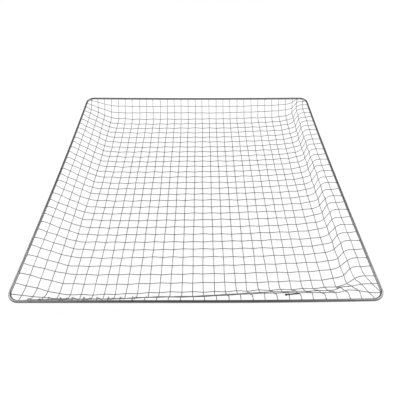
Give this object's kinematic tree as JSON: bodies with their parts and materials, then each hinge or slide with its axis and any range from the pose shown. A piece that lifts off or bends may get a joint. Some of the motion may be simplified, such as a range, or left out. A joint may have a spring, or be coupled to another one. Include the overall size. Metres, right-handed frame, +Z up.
{
  "type": "cooling rack",
  "caption": "Square wire cooling screen: a round-rod rim with rounded corners holding a shallow dished sheet of crossed wires, for draining and cooling food.",
  "frame": {"origin": "centre of the bounding box's bottom face: the middle of the screen, on the table it stands on", "axes": "+Z up out of the dish; +X to the right and +Y to the back, as seen by a person who stands at the front"},
  "size_m": [0.609, 0.6095, 0.0522],
  "materials": {
    "plated_rod": "nickel plated steel rod, satin, darker where it faces down",
    "plated_wire": "nickel plated steel wire, satin"
  },
  "bodies": {
    "root": {"corner_pair_back_left": "plated_wire", "corner_pair_back_right": "plated_wire", "corner_pair_front_left": "plated_wire", "corner_pair_front_right": "plated_wire", "corner_pair_inner_left": "plated_wire", "corner_pair_inner_right": "plated_wire", "cross_wire_01": "plated_wire", "cross_wire_05": "plated_wire", "cross_wire_06": "plated_wire", "cross_wire_07": "plated_wire", "cross_wire_08": "plated_wire", "cross_wire_09": "plated_wire", "cross_wire_10": "plated_wire", "cross_wire_11": "plated_wire", "cross_wire_12": "plated_wire", "cross_wire_13": "plated_wire", "cross_wire_14": "plated_wire", "cross_wire_15": "plated_wire", "cross_wire_16": "plated_wire", "cross_wire_17": "plated_wire", "cross_wire_18": "plated_wire", "cross_wire_19": "plated_wire", "cross_wire_20": "plated_wire", "cross_wire_21": "plated_wire", "cross_wire_22": "plated_wire", "cross_wire_23": "plated_wire", "cross_wire_24": "plated_wire", "cross_wire_25": "plated_wire", "cross_wire_26": "plated_wire", "cross_wire_27": "plated_wire", "cross_wire_28": "plated_wire", "cross_wire_29": "plated_wire", "cross_wire_33": "plated_wire", "long_wire_01": "plated_wire", "long_wire_05": "plated_wire", "long_wire_06": "plated_wire", "long_wire_07": "plated_wire", "long_wire_08": "plated_wire", "long_wire_09": "plated_wire", "long_wire_10": "plated_wire", "long_wire_11": "plated_wire", "long_wire_12": "plated_wire", "long_wire_13": "plated_wire", "long_wire_14": "plated_wire", "long_wire_15": "plated_wire", "long_wire_16": "plated_wire", "long_wire_17": "plated_wire", "long_wire_18": "plated_wire", "long_wire_19": "plated_wire", "long_wire_20": "plated_wire", "long_wire_21": "plated_wire", "long_wire_22": "plated_wire", "long_wire_23": "plated_wire", "long_wire_24": "plated_wire", "long_wire_25": "plated_wire", "long_wire_26": "plated_wire", "long_wire_27": "plated_wire", "long_wire_28": "plated_wire", "long_wire_32": "plated_wire", "rim_rod": "plated_rod"}
  },
  "joints": []
}
